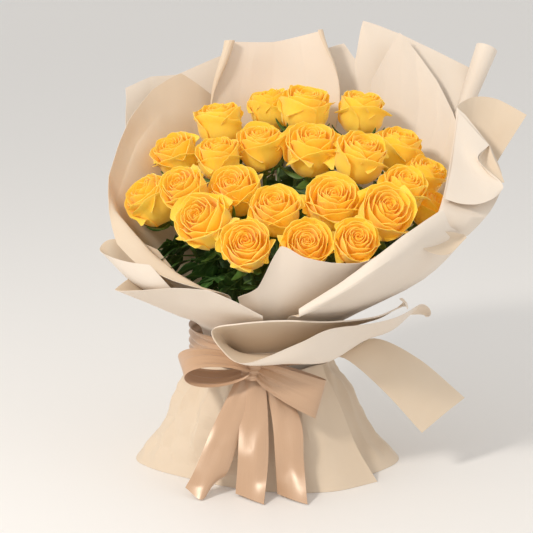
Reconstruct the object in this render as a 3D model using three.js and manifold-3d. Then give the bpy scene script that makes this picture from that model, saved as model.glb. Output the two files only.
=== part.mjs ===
// A hand-tied bouquet of 23 yellow roses in cream wrapping paper, tied with a satin ribbon.
// It stands on the flared hem of its paper skirt and on the cut ends of its stems.
// Millimetres, +Z up, the front faces -Y. The origin is the cut end of the middle stem, on the table.
import * as THREE from "three";
import { mergeVertices } from "three/addons/utils/BufferGeometryUtils.js";
import Module from "manifold-3d";

const wasm = await Module();
wasm.setup();

// Driving dimensions
const PAPER = 0.9; // wall of a wrapping sheet, two layers of thick matt paper
const SATIN = 1.0; // wall of the ribbon
const STEM_RADIUS = 2.5;
const BUNDLE_RADIUS = 19; // from the middle stem to the outer ones at the tie
const STEM_SPREAD = 1.4; // how much wider the bundle is at the table
const STEM_STEPS = 7;
const STEM_SIDES = 6;
const STEM_GAP = 6; // least distance between two stems at the tie
const BEND_Z = 104; // height at which the stems turn outwards, inside the waist
const TIE_Z = 76; // height of the tie around the stems
const TIE_TWINE = 1.8;
const TIE_SLACK = 0.8; // room between the outer stems and the twine
const FOOT_Z = 106; // where the upper sheets start, inside the waist
const COLLAR_Z = 142; // where they leave the ribbon
const COLLAR_SPREAD = 8; // how far they open between the two
const BAND = { radius: 74.2, low: 117, high: 142 };
const BLOOM_FOOT = 0.52; // from a bloom's middle to its back, as a share of its diameter
const HIP = { radius: 5, height: 8, gap: 0.3 }; // swelling under a bloom
const LEAF = { length: 40, width: 21, wall: 1.0, droop: 7 };

const LEAF_PLACES = [[0.82, 0.5], [0.7, 0.6]]; // share of the stem, tilt in radians

// Colours, roughness
const PETAL = { color: 0xf7bd34, roughness: 0.6 };
const GREEN = { color: 0x3f6a2a, roughness: 0.6 };
const CREAM = { color: 0xefe2d0, roughness: 0.85 };
const CHAMPAGNE = { color: 0xd8ab84, roughness: 0.35 };
const TWINE = { color: 0xb79b6c, roughness: 0.9 };

// Roses: centre of the bloom, the way that it faces, its diameter
const ROSES = [
  [[40, 60, 351], [0.1, -0.25, 0.97], 54],
  [[6, 96, 347], [-0.2, -0.05, 0.97], 48],
  [[-46, 60, 335], [-0.15, -0.1, 0.97], 52],
  [[-4, 24, 317], [-0.1, -0.35, 0.93], 50],
  [[46, 8, 316], [0.03, -0.4, 0.92], 58],
  [[93, -17, 312], [0.2, -0.42, 0.88], 54],
  [[134, 41, 311], [0.25, -0.2, 0.94], 52],
  [[-88, 31, 307], [-0.4, -0.35, 0.84], 50],
  [[-46, 5, 309], [-0.12, -0.3, 0.95], 46],
  [[-111, -12, 269], [-0.62, -0.3, 0.72], 54],
  [[-77, -41, 284], [-0.42, -0.55, 0.72], 48],
  [[-28, -35, 282], [-0.25, -0.55, 0.8], 52],
  [[-56, -79, 260], [-0.45, -0.62, 0.64], 56],
  [[10, -70, 269], [-0.08, -0.6, 0.79], 50],
  [[63, -59, 273], [0.05, -0.6, 0.8], 56],
  [[-17, -107, 242], [-0.08, -0.8, 0.6], 50],
  [[39, -104, 241], [0.05, -0.82, 0.57], 50],
  [[112, -80, 268], [0.28, -0.72, 0.63], 54],
  [[84, -116, 247], [0.12, -0.8, 0.57], 44],
  [[133, -41, 285], [0.25, -0.45, 0.86], 46],
  [[158, 10, 289], [0.4, -0.3, 0.87], 42],
  [[162, -20, 261], [0.5, -0.35, 0.79], 40],
  [[98, 70, 346], [0.12, -0.15, 0.98], 52],
];
const MIDDLE_ROSE = 11; // its stem stands on the origin

// Profile of a bloom: share of its radius, share of its diameter above its middle
const BLOOM = [
  [0, -0.52], [0.34, -0.49], [0.74, -0.28], [0.94, 0], [0.98, 0.26], [0.8, 0.42], [0.4, 0.38], [0, 0.32],
];

// A point by its turn from the front (+90 is the right-hand side), radius and height.
function polar(turn, radius, z) {
  const a = THREE.MathUtils.degToRad(turn);
  return [radius * Math.sin(a), -radius * Math.cos(a), z];
}

const ring = (turns, radius, z) => turns.map((turn) => polar(turn, radius, z));
// The two rows of points of a sheet inside the waist.
const waist = (turns, radius) => [
  ring(turns, radius, FOOT_Z),
  ring(turns, radius + COLLAR_SPREAD, COLLAR_Z),
];

// Smooth surface through rows of points, as a grid of vectors.
function surface(rows, across, along) {
  const curve = (points) => new THREE.CatmullRomCurve3(points, false, "catmullrom", 0.5);
  const lines = rows.map((row) => curve(row.map((p) => new THREE.Vector3(...p))).getPoints(across));
  const columns = lines[0].map((_, i) => curve(lines.map((line) => line[i])).getPoints(along));
  return columns;
}

// Closed thin wall of even thickness on a grid of vectors.
function wall(grid, thickness, flatten = null) {
  const nu = grid.length, nv = grid[0].length;
  const at = (i, j) => grid[Math.min(Math.max(i, 0), nu - 1)][Math.min(Math.max(j, 0), nv - 1)];
  const positions = [], faces = [];
  for (const side of [0.5, -0.5])
    for (let i = 0; i < nu; i++)
      for (let j = 0; j < nv; j++) {
        const du = at(i + 1, j).clone().sub(at(i - 1, j));
        const dv = at(i, j + 1).clone().sub(at(i, j - 1));
        const p = at(i, j).clone().addScaledVector(du.cross(dv).normalize(), side * thickness);
        if (flatten) flatten(p, i, j);
        positions.push(p.x, p.y, p.z);
      }
  const id = (side, i, j) => side * nu * nv + i * nv + j;
  const quad = (a, b, c, d) => faces.push(a, b, c, a, c, d);
  for (let i = 0; i + 1 < nu; i++)
    for (let j = 0; j + 1 < nv; j++) {
      quad(id(0, i, j), id(0, i + 1, j), id(0, i + 1, j + 1), id(0, i, j + 1));
      quad(id(1, i, j), id(1, i, j + 1), id(1, i + 1, j + 1), id(1, i + 1, j));
    }
  for (let i = 0; i + 1 < nu; i++) {
    quad(id(1, i, 0), id(1, i + 1, 0), id(0, i + 1, 0), id(0, i, 0));
    quad(id(0, i, nv - 1), id(0, i + 1, nv - 1), id(1, i + 1, nv - 1), id(1, i, nv - 1));
  }
  for (let j = 0; j + 1 < nv; j++) {
    quad(id(0, 0, j), id(0, 0, j + 1), id(1, 0, j + 1), id(1, 0, j));
    quad(id(1, nu - 1, j), id(1, nu - 1, j + 1), id(0, nu - 1, j + 1), id(0, nu - 1, j));
  }
  const geometry = new THREE.BufferGeometry();
  geometry.setAttribute("position", new THREE.Float32BufferAttribute(positions, 3));
  geometry.setIndex(faces);
  return geometry;
}

const sheet = (rows, across, along, thickness = PAPER) => wall(surface(rows, across, along), thickness);

// three.js geometry to a manifold-3d solid and back
function solid(geometry) {
  const bare = geometry.clone();
  bare.deleteAttribute("normal");
  bare.deleteAttribute("uv");
  const merged = mergeVertices(bare, 1e-4);
  const vertProperties = new Float32Array(merged.attributes.position.array);
  const triVerts = new Uint32Array(merged.index.array);
  return new wasm.Manifold(new wasm.Mesh({ numProp: 3, vertProperties, triVerts }));
}

function geometryOf(made) {
  const mesh = made.getMesh();
  const geometry = new THREE.BufferGeometry();
  geometry.setAttribute("position", new THREE.BufferAttribute(mesh.vertProperties, 3));
  geometry.setIndex(new THREE.BufferAttribute(mesh.triVerts, 1));
  return geometry;
}

const join = (pieces) => pieces.reduce((sum, piece) => sum.add(piece));

const bouquet = new THREE.Group();
const solids = new Map();

function add(name, shape, finish) {
  const made = shape.isBufferGeometry ? solid(shape) : shape;
  solids.set(name, made);
  const mesh = new THREE.Mesh(geometryOf(made), new THREE.MeshStandardMaterial({ metalness: 0, ...finish }));
  mesh.name = name;
  bouquet.add(mesh);
}

// Turns +Z to a direction and moves the origin to a place.
function facing(direction, place) {
  const turn = new THREE.Quaternion().setFromUnitVectors(new THREE.Vector3(0, 0, 1), direction);
  return new THREE.Matrix4().compose(place, turn, new THREE.Vector3(1, 1, 1));
}

function bloom(centre, axis, diameter) {
  const profile = BLOOM.map(([r, h]) => new THREE.Vector2((r * diameter) / 2, h * diameter));
  const shape = new THREE.LatheGeometry(profile, 11).rotateX(Math.PI / 2);
  return shape.applyMatrix4(facing(axis, centre));
}

// Places of the stems at the tie: the blooms' plan drawn small, then eased apart.
function stemSlots() {
  const shrink = BUNDLE_RADIUS / 175;
  const slots = ROSES.map(([centre]) => new THREE.Vector2(centre[0], centre[1]).multiplyScalar(shrink));
  for (let round = 0; round < 400; round++)
    for (let i = 0; i < slots.length; i++)
      for (let j = i + 1; j < slots.length; j++) {
        const apart = slots[i].clone().sub(slots[j]);
        const short = STEM_GAP - apart.length();
        if (short <= 0) continue;
        slots[i].addScaledVector(apart.normalize(), short / 2);
        slots[j].addScaledVector(apart, -short / 2);
      }
  const middle = slots[MIDDLE_ROSE].clone();
  return slots.map((slot) => slot.sub(middle));
}

// A stem's line: spread below the tie, straight through it, and round to the bloom's back.
function stemPath(slot, base, axis) {
  const foot = new THREE.Vector3(slot.x * STEM_SPREAD, slot.y * STEM_SPREAD, -2);
  const bend = new THREE.Vector3(slot.x, slot.y, BEND_Z);
  const reach = base.distanceTo(bend);
  const rise = bend.clone().addScaledVector(base.clone().sub(bend).normalize(), reach * 0.4);
  const lead = base.clone().addScaledVector(axis, -reach * 0.16);
  const path = new THREE.CurvePath();
  path.add(new THREE.LineCurve3(foot, bend));
  path.add(new THREE.CubicBezierCurve3(bend, rise, lead, base));
  return path;
}

function tube(path, steps, radius, sides) {
  const section = new THREE.Shape();
  for (let k = 0; k < sides; k++) {
    const a = (k / sides) * 2 * Math.PI;
    section[k ? "lineTo" : "moveTo"](radius * Math.cos(a), radius * Math.sin(a));
  }
  return new THREE.ExtrudeGeometry(section, { steps, extrudePath: path, bevelEnabled: false });
}

// A drooping leaf, 1 mm thick, that starts at the origin and reaches along +Z.
function leaf() {
  const widths = [0.12, 0.95, 0.85, 0.1];
  const rows = [-1, 0, 1].map((side) =>
    widths.map((width, i) => {
      const along = (i / (widths.length - 1)) * LEAF.length;
      const rise = Math.abs(side) * 1.5 * width - LEAF.droop * (along / LEAF.length) ** 2;
      return [(side * width * LEAF.width) / 2, rise, along];
    }),
  );
  const grid = rows[0].map((_, i) => rows.map((row) => new THREE.Vector3(...row[i])));
  return wall(grid, LEAF.wall);
}

function touches(made, others) {
  const box = made.boundingBox();
  const apart = (a, b) => [0, 1, 2].some((k) => a.min[k] > b.max[k] || a.max[k] < b.min[k]);
  return others.some((other) => !apart(box, other.boundingBox()) && !made.intersect(other).isEmpty());
}

// Leaves on a stem: at each height the first turn where the leaf is clear of everything else.
function leavesOn(path, others) {
  const found = [];
  for (const [share, tilt] of LEAF_PLACES) {
    const foot = path.getPoint(share);
    for (let turn = 0; turn < 360; turn += 30) {
      const [x, y] = polar(turn, Math.sin(tilt), 0);
      const direction = new THREE.Vector3(x, y, Math.cos(tilt));
      const made = solid(leaf().applyMatrix4(facing(direction, foot)));
      if (touches(made, [...others, ...found])) continue;
      found.push(made);
      break;
    }
  }
  return found;
}

function addRoses(slots) {
  const stems = ROSES.map(([centre, lean, diameter], i) => {
    const middle = new THREE.Vector3(...centre);
    const axis = new THREE.Vector3(...lean).normalize();
    const name = "rose_" + String(i + 1).padStart(2, "0");
    add(name + "_bloom", bloom(middle, axis, diameter), PETAL);
    const top = middle.clone().addScaledVector(axis, -BLOOM_FOOT * diameter - HIP.gap);
    const base = top.clone().addScaledVector(axis, -HIP.height + 1);
    const path = stemPath(slots[i], base, axis);
    const hip = new THREE.CylinderGeometry(HIP.radius, STEM_RADIUS, HIP.height, 8).rotateX(Math.PI / 2);
    hip.applyMatrix4(facing(axis, top.clone().addScaledVector(axis, -HIP.height / 2)));
    const bare = solid(tube(path, STEM_STEPS, STEM_RADIUS, STEM_SIDES)).trimByPlane([0, 0, 1], 0);
    return { name: name + "_stem", path, made: bare.add(solid(hip)) };
  });
  return stems;
}

function addStems(stems) {
  stems.forEach((stem) => {
    const others = [...solids.values(), ...stems.filter((s) => s !== stem).map((s) => s.made)];
    stem.made = join([stem.made, ...leavesOn(stem.path, others)]);
  });
  stems.forEach(({ name, made }) => add(name, made, GREEN));
}

// Sheets of paper. Each has its foot's turns and radius, then its rows of points up to its rim.
const SHEETS = {
  left_inner_paper: {
    turns: [-158, -148, -136, -122, -108, -94, -82, -70, -57, -43, -29], radius: 48, across: 20, along: 7,
    rows: [
      [[-44, 104, 312], [-70, 94, 316], [-98, 70, 316], [-122, 32, 290], [-134, -8, 246], [-126, -36, 230],
        [-112, -58, 218], [-94, -76, 206], [-74, -91, 195], [-52, -103, 186], [-30, -108, 182]],
      [[-50, 118, 336], [-77, 104, 350], [-106, 80, 350], [-130, 42, 322], [-148, -5, 274], [-143, -33, 262],
        [-127, -52, 247], [-109, -74, 231], [-84, -97, 217], [-56, -115, 205], [-33, -121, 199]],
      [[-54, 124, 356], [-88, 108, 382], [-116, 80, 368], [-137, 38, 342], [-154, -5, 292], [-151, -36, 266],
        [-148, -54, 250], [-155, -68, 233], [-134, -92, 219], [-92, -117, 212], [-50, -130, 206]],
    ],
  },
  back_left_paper: {
    turns: [-116, -130, -144, -158, -172], radius: 53, across: 8, along: 5,
    rows: [
      [[-134, 66, 290], [-118, 90, 295], [-94, 108, 300], [-60, 122, 305], [-25, 132, 305]],
      [[-145, 98, 368], [-120, 117, 378], [-93, 130, 379], [-48, 146, 397], [-8, 154, 392]],
    ],
  },
  back_centre_paper: {
    turns: [-152, -164, 180, 166, 152], radius: 43, across: 10, along: 5,
    rows: [
      [[-56, 100, 330], [-28, 116, 332], [6, 124, 334], [42, 118, 336], [76, 100, 340]],
      [[-38, 124, 414], [-16, 130, 413], [10, 134, 413], [37, 133, 419], [58, 126, 425]],
    ],
  },
  back_right_paper: {
    turns: [176, 168, 160, 148, 136, 124, 114], radius: 53, across: 14, along: 5,
    rows: [
      [[40, 132, 310], [66, 128, 312], [92, 122, 312], [118, 118, 316], [148, 112, 316], [176, 104, 312],
        [200, 94, 322]],
      [[62, 148, 404], [84, 150, 410], [96, 148, 394], [104, 150, 434], [142, 148, 421], [185, 138, 402],
        [228, 124, 402]],
    ],
  },
  inner_right_paper: {
    turns: [152, 145, 138, 131, 124, 117, 110], radius: 48, across: 14, along: 5,
    rows: [
      [[100, 100, 300], [116, 104, 318], [134, 104, 322], [152, 98, 312], [166, 86, 298], [170, 70, 276],
        [164, 52, 250]],
      [[111, 112, 374], [126, 120, 400], [141, 126, 423], [158, 124, 404], [180, 113, 374], [196, 98, 342],
        [190, 64, 296]],
    ],
  },
  right_paper: {
    turns: [86, 82, 76, 69, 63, 58, 54], radius: 55, across: 16, along: 9,
    rows: [
      [[164, 0, 216], [162, -12, 218], [154, -26, 222], [138, -50, 226], [146, -54, 222], [152, -52, 216],
        [156, -46, 211]],
      [[208, 20, 256], [205, 4, 260], [194, -20, 266], [165, -62, 267], [180, -64, 262], [194, -60, 258],
        [209, -50, 256]],
      [[236, 44, 300], [222, 50, 306], [206, 46, 312], [185, 10, 318], [200, 2, 308], [214, -6, 300],
        [232, -14, 288]],
      [[266, 58, 345], [238, 74, 359], [214, 70, 362], [194, 48, 355], [202, 40, 346], [213, 28, 332],
        [224, 14, 318]],
    ],
  },
  front_paper: {
    turns: [-17, -9, -1, 8, 17, 27, 37, 48], radius: 53, across: 14, along: 6,
    rows: [
      [[-21, -106, 176], [-5, -110, 178], [12, -111, 182], [30, -110, 186], [50, -108, 189], [74, -104, 193],
        [98, -90, 200], [118, -72, 208]],
      [[-25, -122, 198], [-6, -129, 209], [14, -137, 249], [35, -139, 240], [60, -139, 234], [86, -140, 234],
        [112, -125, 241], [142, -92, 254]],
    ],
  },
  front_roll_paper: {
    turns: [11, 20, 30, 41, 53, 63], radius: 60, across: 14, along: 12,
    rows: [
      [[22, -112, 176], [48, -112, 178], [77, -106, 182], [106, -92, 188], [132, -74, 194],
        [148, -54, 196]],
      [[31, -141, 184], [68, -146, 202], [101, -141, 217], [134, -120, 230], [162, -95, 236],
        [186, -70, 240]],
      [[31, -146, 188], [67, -156, 209], [100, -156, 230], [130, -138, 246], [154, -114, 256],
        [172, -94, 260]],
      [[31, -143, 192], [66, -150, 217], [98, -150, 241], [127, -132, 258], [150, -107, 268],
        [166, -88, 274]],
      [[31, -140, 189], [65, -144, 211], [96, -143, 231], [122, -122, 247], [145, -98, 257],
        [160, -80, 263]],
    ],
  },
  left_flap_paper: {
    turns: [-74, -62, -48, -34, -20, -6], radius: 58, across: 12, along: 6,
    rows: [
      [[-86, -64, 168], [-80, -76, 170], [-66, -92, 174], [-46, -104, 176], [-22, -112, 174],
        [-2, -114, 172]],
      [[-141, -88, 197], [-118, -100, 199], [-84, -118, 206], [-52, -132, 207],
        [-26, -138, 197], [-2, -138, 184]],
    ],
  },
  tail_paper: {
    turns: null, across: 4, along: 8,
    rows: [
      ring([38, 50, 62], 70.6, 112),
      [[58, -56, 115], [68, -43, 116], [77, -30, 117]],
      [[77, -60, 122], [93, -46, 129], [108, -31, 134]],
      [[114, -66, 92], [134, -47, 106], [153, -28, 112]],
      [[154, -64, 47], [178, -46, 61], [200, -26, 71]],
    ],
  },
};

// The cuff: a sheet folded over in front, open to the front as a pocket that narrows to the right.
const CUFF = {
  across: 24, along: 6,
  rows: [
    [...ring([62, 48, 30, 8, -12], 78, 147), polar(-23, 79, 144), polar(-19, 82, 141), polar(-8, 84, 139),
      ...ring([14, 34, 50, 62, 72], 84, 138)],
    [[106, -70, 163], [86, -82, 161], [52, -100, 161], [14, -106, 163], [-20, -104, 161], [-40, -98, 156],
      [-36, -100, 146], [-17, -106, 137], [20, -104, 136], [54, -90, 135], [84, -74, 143], [106, -60, 148],
      [124, -46, 157]],
    [[128, -86, 180], [102, -102, 174], [60, -120, 174], [17, -127, 177], [-23, -127, 174], [-47, -116, 166],
      [-41, -120, 150], [-18, -127, 135], [23, -124, 135], [60, -108, 133], [95, -93, 149], [122, -75, 154],
      [142, -56, 166]],
    [[129, -89, 180], [103, -105, 174], [61, -123, 174], [17, -130, 177], [-24, -130, 174], [-49, -119, 166],
      [-42, -123, 150], [-19, -131, 137], [30, -132, 156], [60, -128, 169], [98, -112, 170], [126, -93, 172],
      [148, -70, 178]],
  ],
};

// The skirt goes once round and laps over itself on the right. Turn, hem radius, top radius.
const SKIRT = [
  [56, 133, 68.8], [32, 120, 68.8], [5, 103, 68.6], [-18, 96, 68.4], [-48, 99, 68.2], [-74, 121, 68],
  [-90, 132, 67.8], [-118, 127, 67.6], [-148, 120, 67.4], [-180, 118, 67.2], [-212, 122, 67],
  [-240, 129, 66.8], [-262, 134, 66.6], [-276, 136, 66.4], [-292, 122, 66.2], [-312, 108, 66],
];
const SKIRT_LEVELS = [[0, 1], [32, 0.62], [78, 0.26], [98, 0.06], [110, 0]];

function addPapers() {
  for (const [name, { turns, radius, rows, across, along }] of Object.entries(SHEETS)) {
    const all = turns ? [...waist(turns, radius), ...rows] : rows;
    add(name, sheet(all, across, along), CREAM);
  }
  add("cuff_paper", sheet(CUFF.rows, CUFF.across, CUFF.along), CREAM);
  const rows = SKIRT_LEVELS.map(([z, share]) =>
    SKIRT.map(([turn, hem, top]) => polar(turn, top + (hem - top) * share, z)),
  );
  const onTable = (p, i, j) => (j === 0 ? p.setZ(0) : p);
  add("skirt_paper", wall(surface(rows, 40, 5), PAPER, onTable), CREAM);
}

// Ribbon: the band round the waist, the knot, two loops and three tails, in one piece.
const TAILS = [
  [[[-24, -78, 116], [-12, -81, 116]], [[-46, -92, 69], [-22, -95, 66]], [[-76, -118, 8], [-48, -122, 6]]],
  [[[-17, -80, 116], [0, -81, 116]], [[-24, -96, 70], [3, -98, 71]], [[-29, -122, 8], [0, -134, 6]]],
  [[[-2, -81, 116], [10, -79, 116]], [[7, -95, 70], [34, -96, 70]], [[12, -122, 8], [41, -132, 6]]],
];

function loop(length, height, width) {
  const outline = new THREE.Shape().absellipse(length / 2, 0, length / 2, height / 2, 0, 2 * Math.PI);
  const hole = new THREE.Path();
  hole.absellipse(length / 2, 0, length / 2 - SATIN, height / 2 - SATIN, 0, 2 * Math.PI, true);
  outline.holes.push(hole);
  const options = { depth: width, bevelEnabled: false, curveSegments: 7, steps: 1 };
  return new THREE.ExtrudeGeometry(outline, options).translate(0, 0, -width / 2);
}

function addRibbon() {
  const { radius, low, high } = BAND;
  const outer = radius + SATIN;
  const profile = [[radius, low], [outer, low], [outer, high], [radius, high], [radius, low]];
  const section = profile.map((p) => new THREE.Vector2(...p));
  const band = new THREE.LatheGeometry(section, 28).rotateX(Math.PI / 2);
  const knot = new THREE.SphereGeometry(1, 10, 6).scale(16, 10, 12).translate(-10, -80, 122);
  const left = loop(66, 28, 32).rotateX(Math.PI / 2).rotateY(0.1).translate(-10, 0, 0);
  left.rotateZ(Math.PI).translate(-12, -88, 121);
  const right = loop(64, 14, 36).rotateX(0.25).rotateY(0.35).rotateZ(-0.1).translate(-6, -88, 117);
  const tails = TAILS.map((rows) => solid(sheet(rows, 2, 6, SATIN)));
  const parts = join([band, knot, left, right].map(solid).concat(tails)).decompose();
  parts.sort((a, b) => b.volume() - a.volume()); // leaves out a sliver of air between the knot and a loop
  add("ribbon", parts[0], CHAMPAGNE);
}

// Three turns of twine round the bundle.
function addTie(slots) {
  const centre = slots.reduce((sum, slot) => sum.add(slot), new THREE.Vector2()).divideScalar(slots.length);
  const spread = 1 + (STEM_SPREAD - 1) * (1 - TIE_Z / BEND_Z);
  centre.multiplyScalar(spread);
  const reach = Math.max(...slots.map((slot) => slot.clone().multiplyScalar(spread).distanceTo(centre)));
  const inner = reach + STEM_RADIUS + TIE_SLACK;
  const profile = [new THREE.Vector2(inner, -1.5 * TIE_TWINE)];
  for (let k = 0; k <= 6; k++)
    profile.push(new THREE.Vector2(inner + TIE_TWINE * (k % 2 ? 1 : 0.6), (k / 2 - 1.5) * TIE_TWINE));
  profile.push(new THREE.Vector2(inner, 1.5 * TIE_TWINE), profile[0]);
  const coil = new THREE.LatheGeometry(profile, 20).rotateX(Math.PI / 2);
  add("stem_tie", coil.translate(centre.x, centre.y, TIE_Z), TWINE);
}

const slots = stemSlots();
const stems = addRoses(slots);
addPapers();
addRibbon();
addTie(slots);
addStems(stems);

export default bouquet;
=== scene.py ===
"""A hand-tied bouquet of yellow roses in cream paper with a champagne satin bow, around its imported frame.

Metres, +Z up, the front faces -Y. Tables of points are in millimetres, as in the frame's own drawing.
"""
import math
import random

import bmesh
import bpy
from mathutils import Matrix, Vector, noise


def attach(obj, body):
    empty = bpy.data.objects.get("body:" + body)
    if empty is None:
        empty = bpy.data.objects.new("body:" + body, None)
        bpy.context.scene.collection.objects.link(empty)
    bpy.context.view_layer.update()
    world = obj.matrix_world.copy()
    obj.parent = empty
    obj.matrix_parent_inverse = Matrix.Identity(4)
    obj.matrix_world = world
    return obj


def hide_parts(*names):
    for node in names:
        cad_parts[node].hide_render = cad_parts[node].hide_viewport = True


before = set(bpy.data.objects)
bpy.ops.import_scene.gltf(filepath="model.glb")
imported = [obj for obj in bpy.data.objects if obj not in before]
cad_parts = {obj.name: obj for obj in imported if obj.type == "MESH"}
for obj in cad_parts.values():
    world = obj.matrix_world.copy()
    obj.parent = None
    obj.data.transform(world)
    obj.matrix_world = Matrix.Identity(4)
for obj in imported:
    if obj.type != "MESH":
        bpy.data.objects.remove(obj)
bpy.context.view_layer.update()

MM = 0.001
UP = Vector((0, 0, 1))

# Roses, in millimetres but for the shares
BLOOM_FOOT = 0.52                     # from a bloom's middle to its back, as a share of its diameter
BLOOM_FULLNESS = 1.02                 # a bloom's own size to the one in its drawing
PETAL_COLUMNS, PETAL_ROWS = 12, 10
PETAL_WALL = 0.019                    # share of half the diameter
HIP_LENGTH = 7
STEM_RADIUS = 2.3
STEM_GAP = 6                          # between the middles of two stems at the waist
STEM_SPREAD = 1.4                     # how much wider the bundle is at the table than at the waist
STEMS_HALF_WIDTH, BLOOMS_HALF_WIDTH = 19, 175
WAIST_Z = 104
LEAF_LENGTH, LEAF_HALF_WIDTH, LEAF_WALL = 40, 9.5, 0.45
LEAF_COLUMNS, LEAF_ROWS = 8, 28

# Paper
PAPER_WALL = 0.35 * MM
PAPER_COLUMNS, PAPER_ROWS, CURL_STEPS = 80, 26, 12
FOOT_Z, COLLAR_Z, COLLAR_SPREAD = 106, 142, 8   # where the sheets start in the waist and open above it

# Ribbon
SATIN_WALL = 0.3 * MM


# ---------------------------------------------------------------- helpers

def smooth(low, high, x):
    """0 below low, 1 above high, an S-curve between."""
    t = min(max((x - low) / (high - low), 0.0), 1.0)
    return t * t * (3 - 2 * t)


def polar(turn, radius, z):
    """A point by its turn from the front (+90 is the right-hand side), radius and height."""
    a = math.radians(turn)
    return (radius * math.sin(a), -radius * math.cos(a), z)


def ring(turns, radius, z):
    return [polar(turn, radius, z) for turn in turns]


def facing(direction, place, spin=0.0):
    """Turns +Z to a direction, after a spin about it, and moves the origin to a place."""
    turn = UP.rotation_difference(direction).to_matrix().to_4x4()
    return Matrix.Translation(place) @ turn @ Matrix.Rotation(spin, 4, "Z")


def on_curve(points, t):
    """A point on the smooth curve through the points, t from 0 to 1."""
    last = len(points) - 1
    at = min(max(t, 0.0), 1.0) * last
    i = min(int(at), last - 1)
    w = at - i
    b, c = points[i], points[i + 1]
    a = points[i - 1] if i else 2 * b - c
    d = points[i + 2] if i + 2 <= last else 2 * c - b
    return 0.5 * (2 * b + (c - a) * w + (2 * a - 5 * b + 4 * c - d) * w * w
                  + (3 * b - a - 3 * c + d) * w * w * w)


def only(obj):
    bpy.ops.object.select_all(action="DESELECT")
    obj.select_set(True)
    bpy.context.view_layer.objects.active = obj


def grid(name, columns, rows):
    """A flat grid, -1..1 across and 0..1 along, ready to be shaped by bend()."""
    bpy.ops.object.select_all(action="DESELECT")
    bpy.ops.mesh.primitive_grid_add(x_subdivisions=columns, y_subdivisions=rows, size=2, calc_uvs=True)
    obj = bpy.context.object
    obj.name = name
    obj.data.name = name
    return obj


def bend(obj, place):
    """Moves every vertex of a flat grid to place(s, t)."""
    for v in obj.data.vertices:
        v.co = place(v.co.x, (v.co.y + 1) / 2)
    obj.data.update()


def thicken(obj, wall, painted_shade_inside=False, sharp=50):
    """Gives a sheet its wall; the second material slot, if asked for, covers the back with painted shade, a
    darker copy of the paper.
    """
    only(obj)
    mod = obj.modifiers.new("wall", "SOLIDIFY")
    mod.thickness = wall
    mod.offset = 0
    mod.use_even_offset = False
    if painted_shade_inside:
        mod.material_offset = 1
    bpy.ops.object.modifier_apply(modifier=mod.name)
    bpy.ops.object.shade_smooth_by_angle(angle=math.radians(sharp))


def joined(name, parts):
    bpy.ops.object.select_all(action="DESELECT")
    for part in parts:
        part.select_set(True)
    bpy.context.view_layer.objects.active = parts[0]
    if len(parts) > 1:
        bpy.ops.object.join()
    obj = bpy.context.object
    obj.name = name
    obj.data.name = name
    return obj


def copied(obj, name, matrix):
    """A copy with a mesh of its own, its place in the mesh."""
    made = obj.copy()
    made.data = obj.data.copy()
    made.name = name
    made.data.name = name
    bpy.context.scene.collection.objects.link(made)
    made.data.transform(matrix)
    return made


def settle(obj, material_slot, *nodes):
    """Hands a finished piece to the frame."""
    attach(obj, "root")
    if nodes:
        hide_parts(*nodes)
    return obj


# ---------------------------------------------------------------- materials

class Value:
    """A socket that can be written in sums: each operator adds its Math node."""

    def __init__(self, shader, socket):
        self.shader, self.socket = shader, socket

    def math(self, operation, other):
        return self.shader.node("ShaderNodeMath", {"operation": operation}, self, other)

    def __add__(self, other):
        return self.math("ADD", other)

    def __mul__(self, other):
        return self.math("MULTIPLY", other)

    def __pow__(self, other):
        return self.math("POWER", other)

    __radd__ = __add__
    __rmul__ = __mul__


class Shader:
    """One material: its Principled BSDF and the nodes that feed it."""

    def __init__(self, name, roughness, **constants):
        self.material = bpy.data.materials.new(name)
        self.material.use_nodes = True
        self.tree = self.material.node_tree
        self.surface = self.tree.nodes["Principled BSDF"]
        self.set("Roughness", roughness)
        for key, value in constants.items():
            self.set(key.replace("_", " ").title().replace("Ior", "IOR"), value)

    def set(self, socket, value):
        target = self.surface.inputs[socket] if isinstance(socket, str) else socket
        if isinstance(value, Value):
            self.tree.links.new(value.socket, target)
        elif isinstance(value, (tuple, list)) and len(value) == 3 and target.type == "RGBA":
            target.default_value = (*value, 1)
        else:
            target.default_value = value

    def node(self, kind, settings, *values, out=0, **named):
        """Any node: its settings, its sockets in order or by name, and which output is handed on."""
        made = self.tree.nodes.new(kind)
        for key, value in settings.items():
            setattr(made, key, value)
        for i, value in enumerate(values):
            self.set(made.inputs[i], value)
        for key, value in named.items():
            self.set(made.inputs[key.replace("_", " ")], value)
        return Value(self, made.outputs[out])

    def mix(self, share, first, second):
        """A mix of two colours: sockets 6 and 7 of the node, and its output 2."""
        made = self.tree.nodes.new("ShaderNodeMix")
        made.data_type = "RGBA"
        for index, value in ((0, share), (6, first), (7, second)):
            self.set(made.inputs[index], value)
        return Value(self, made.outputs[2])

    def spread(self, value, low, high, most):
        """0 below low, most above high, straight between."""
        return self.node("ShaderNodeMapRange", {}, value, low, high, 0.0, most)

    def place(self):
        return self.node("ShaderNodeTexCoord", {}, out="Object")

    def uv(self):
        return self.node("ShaderNodeTexCoord", {}, out="UV")

    def attribute(self, name):
        """The three channels of a colour attribute."""
        colour = self.node("ShaderNodeAttribute", {"attribute_name": name})
        made = self.tree.nodes.new("ShaderNodeSeparateColor")
        self.set(made.inputs[0], colour)
        return [Value(self, made.outputs[i]) for i in range(3)]

    def noise(self, scale, detail=3.0, vector=None, roughness=0.5):
        return self.node("ShaderNodeTexNoise", {}, Vector=vector or self.place(), Scale=scale,
                         Detail=detail, Roughness=roughness)

    def stretched(self, vector, x, y, z):
        return self.node("ShaderNodeMapping", {}, Vector=vector, Scale=(x, y, z))

    def bump(self, height, strength, distance):
        self.set("Normal", self.node("ShaderNodeBump", {}, Strength=strength, Distance=distance,
                                     Height=height))


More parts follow.
